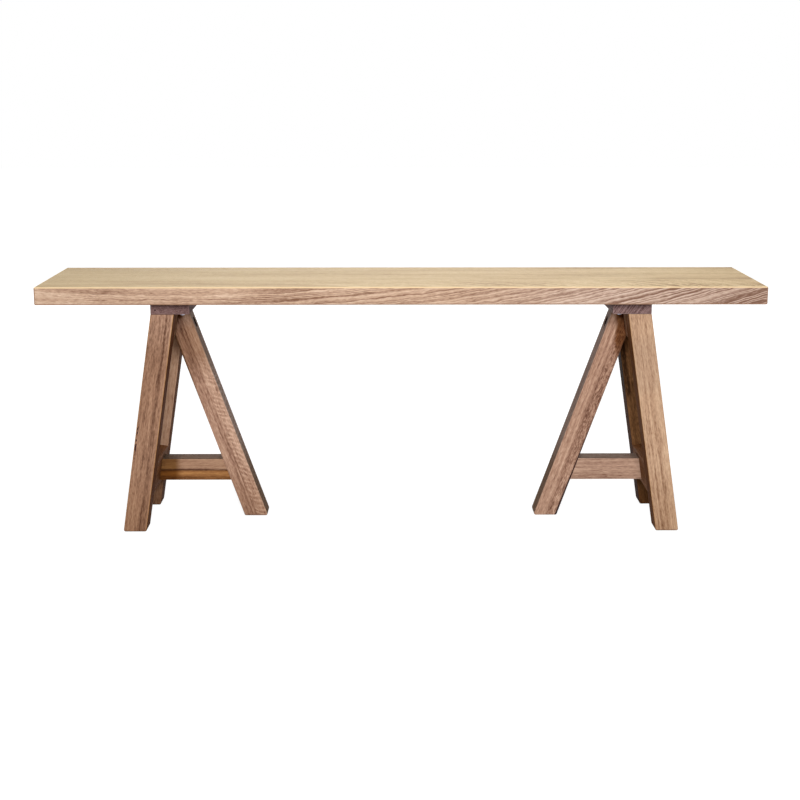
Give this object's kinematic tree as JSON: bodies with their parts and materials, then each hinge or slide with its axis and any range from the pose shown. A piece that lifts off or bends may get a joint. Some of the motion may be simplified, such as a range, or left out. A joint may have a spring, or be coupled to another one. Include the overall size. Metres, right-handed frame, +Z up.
{
  "type": "dining bench",
  "caption": "Solid-wood dining bench: a long plank seat bolted onto two A-shaped trestles, each a leaning frame with rails, an inward-leaning leg and a low stretcher.",
  "frame": {"origin": "on the floor, under the middle of the seat", "axes": "+X along the seat's length, -Y towards the sitter's side shown in the picture, +Z up"},
  "size_m": [1.3, 0.3, 0.457],
  "materials": {
    "seat_wood": "clear satin oil on pale tan hardwood",
    "leg_wood": "clear satin oil on pinkish brown hardwood",
    "bearer_wood": "clear satin oil on dark purplish brown hardwood",
    "tenon_beech": "bare beech",
    "zinc_steel": "bright zinc plating",
    "dark_steel": "blackened steel",
    "insert_brass": "plain brass"
  },
  "bodies": {
    "root": {"seat_front_board": "seat_wood", "seat_middle_board": "seat_wood", "seat_rear_board": "seat_wood", "left_bearer": "bearer_wood", "left_outer_front_leg": "leg_wood", "left_outer_rear_leg": "leg_wood", "left_inner_leg": "leg_wood", "left_upper_rail": "leg_wood", "left_lower_rail": "leg_wood", "left_stretcher": "leg_wood", "left_upper_rail_front_tenon": "tenon_beech", "left_upper_rail_rear_tenon": "tenon_beech", "left_lower_rail_front_tenon": "tenon_beech", "left_lower_rail_rear_tenon": "tenon_beech", "left_stretcher_rail_tenon": "tenon_beech", "left_stretcher_leg_tenon": "tenon_beech", "left_leg_bolt": "dark_steel", "left_leg_bolt_washer": "dark_steel", "left_leg_bolt_insert": "insert_brass", "left_front_leg_inner_screw": "zinc_steel", "left_front_leg_outer_screw": "zinc_steel", "left_rear_leg_inner_screw": "zinc_steel", "left_rear_leg_outer_screw": "zinc_steel", "left_rail_front_screw": "zinc_steel", "left_rail_rear_screw": "zinc_steel", "left_seat_front_bolt": "zinc_steel", "left_seat_front_bolt_washer": "zinc_steel", "left_seat_front_bolt_insert": "insert_brass", "left_seat_rear_bolt": "zinc_steel", "left_seat_rear_bolt_washer": "zinc_steel", "left_seat_rear_bolt_insert": "insert_brass", "right_bearer": "bearer_wood", "right_outer_front_leg": "leg_wood", "right_outer_rear_leg": "leg_wood", "right_inner_leg": "leg_wood", "right_upper_rail": "leg_wood", "right_lower_rail": "leg_wood", "right_stretcher": "leg_wood", "right_upper_rail_front_tenon": "tenon_beech", "right_upper_rail_rear_tenon": "tenon_beech", "right_lower_rail_front_tenon": "tenon_beech", "right_lower_rail_rear_tenon": "tenon_beech", "right_stretcher_rail_tenon": "tenon_beech", "right_stretcher_leg_tenon": "tenon_beech", "right_leg_bolt": "dark_steel", "right_leg_bolt_washer": "dark_steel", "right_leg_bolt_insert": "insert_brass", "right_front_leg_inner_screw": "zinc_steel", "right_front_leg_outer_screw": "zinc_steel", "right_rear_leg_inner_screw": "zinc_steel", "right_rear_leg_outer_screw": "zinc_steel", "right_rail_front_screw": "zinc_steel", "right_rail_rear_screw": "zinc_steel", "right_seat_front_bolt": "zinc_steel", "right_seat_front_bolt_washer": "zinc_steel", "right_seat_front_bolt_insert": "insert_brass", "right_seat_rear_bolt": "zinc_steel", "right_seat_rear_bolt_washer": "zinc_steel", "right_seat_rear_bolt_insert": "insert_brass"}
  },
  "joints": []
}
